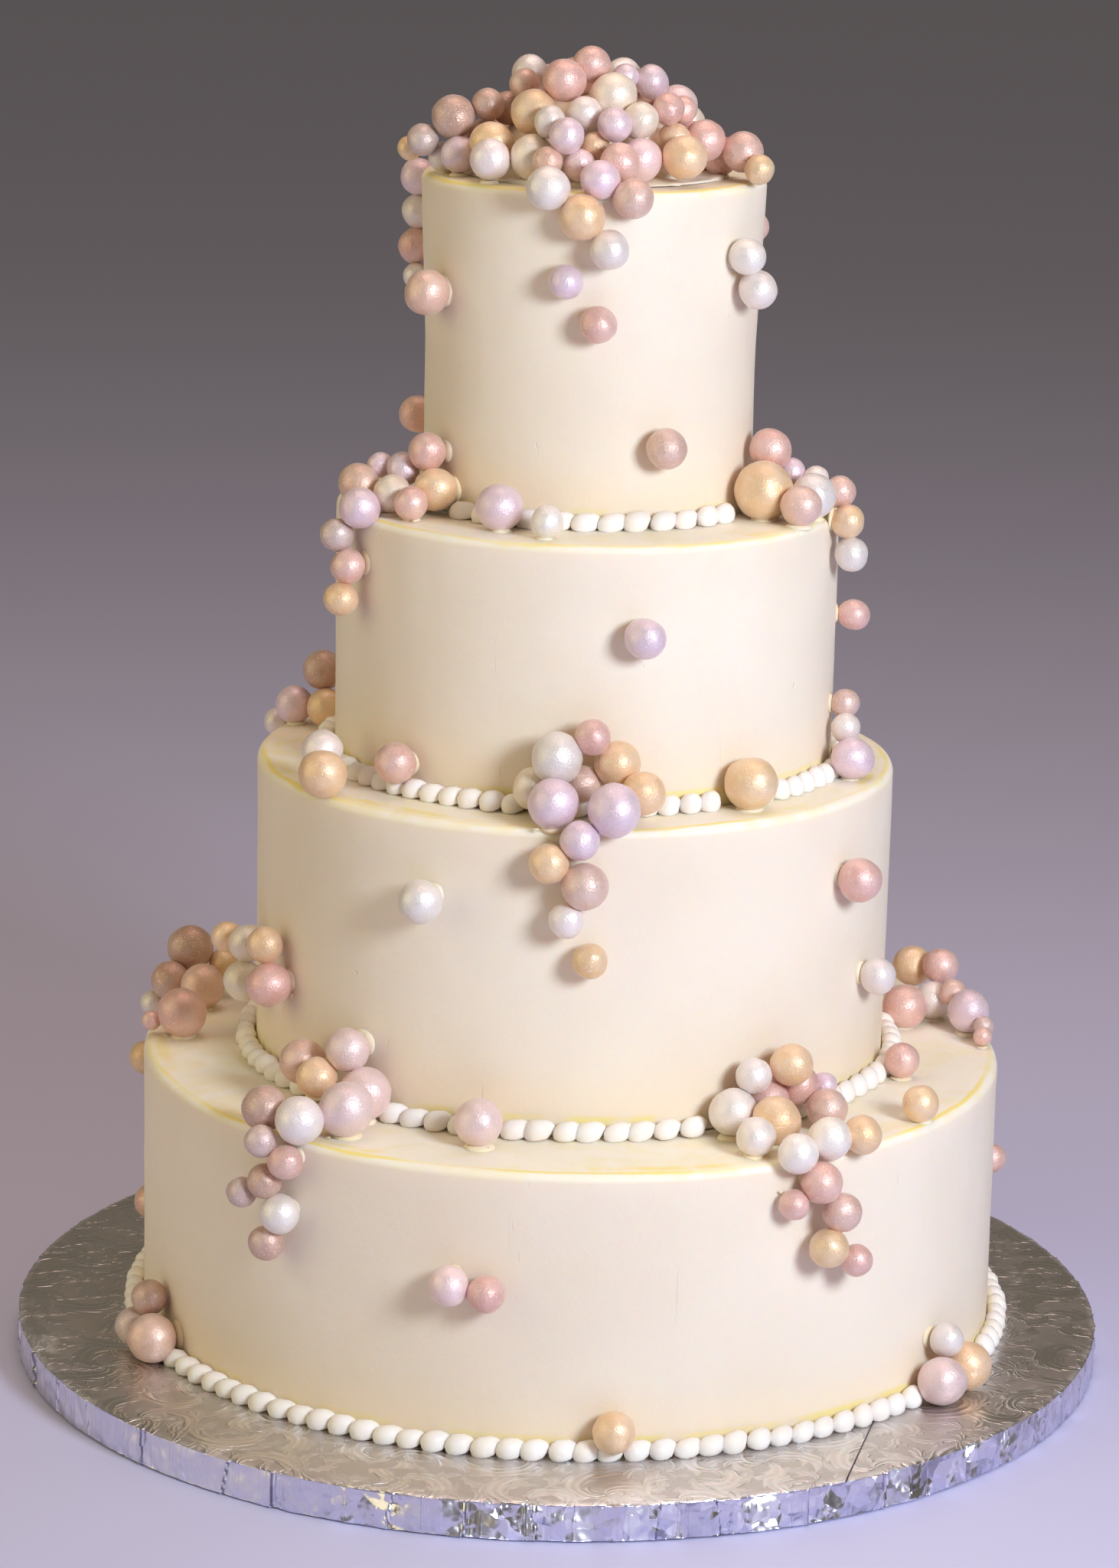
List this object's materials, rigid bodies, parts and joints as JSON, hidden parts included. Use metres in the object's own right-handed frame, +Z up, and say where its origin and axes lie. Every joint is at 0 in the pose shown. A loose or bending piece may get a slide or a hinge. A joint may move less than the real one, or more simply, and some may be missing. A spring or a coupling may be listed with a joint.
{
  "type": "tiered wedding cake",
  "caption": "Tall round wedding cake of cream tiers stacked on a foil-covered board, with piped bead borders and pearly sugar balls heaped on top and tumbling down its sides.",
  "frame": {"origin": "the middle of the board's flat underside", "axes": "+Z up the cake's height, -Y towards its front, +X to the viewer's right"},
  "size_m": [0.522, 0.522, 0.6212],
  "materials": {
    "foil": "silver foil paper embossed with scrolling leaves, satin, creased where it folds over the rim",
    "cream": "buttercream smoothed with a scraper, satin, with fine pits and hairlines",
    "piping": "piped white buttercream beads, satin",
    "pearl": "pearlised sugar balls in rose, gold, copper, lavender and ivory, with a fine sparkle"
  },
  "bodies": {
    "root": {"board": "foil", "tier_1": "cream", "tier_2": "cream", "tier_3": "cream", "tier_4": "cream", "border_1": "piping", "border_2": "piping", "border_3": "piping", "border_4": "piping", "crown": "pearl", "top_side_pair": "pearl", "top_side_behind": "pearl", "top_side_upper": "pearl", "top_side_lower": "pearl", "top_side_foot": "pearl", "top_side_left": "pearl", "top_side_string": "pearl", "top_side_string_end": "pearl", "second_ledge_left": "pearl", "second_ledge_right": "pearl", "second_foot_left": "pearl", "second_foot_front": "pearl", "second_side_front": "pearl", "second_side_right": "pearl", "third_ledge_left": "pearl", "third_ledge_left_back": "pearl", "third_foot_left": "pearl", "third_ledge_right": "pearl", "third_foot_right": "pearl", "third_front": "pearl", "third_front_last": "pearl", "third_side_left": "pearl", "third_side_right": "pearl", "third_side_far_right": "pearl", "third_wall_three": "pearl", "third_wall_two": "pearl", "base_ledge_far_left": "pearl", "base_ledge_left_pair": "pearl", "base_ledge_left_edge": "pearl", "base_ledge_left": "pearl", "base_foot_front": "pearl", "base_ledge_right": "pearl", "base_ledge_right_front": "pearl", "base_ledge_far_right": "pearl", "base_ledge_right_back": "pearl", "base_ledge_right_mid": "pearl", "base_side_right": "pearl", "base_side_pair": "pearl", "base_side_left": "pearl", "board_left": "pearl", "board_front": "pearl", "board_right": "pearl", "back_second_ledge": "pearl", "back_third_ledge": "pearl", "back_base_ledge_left": "pearl", "back_base_ledge_right": "pearl", "back_board": "pearl", "back_top_side": "pearl", "back_third_side": "pearl", "back_base_side": "pearl"}
  },
  "joints": []
}
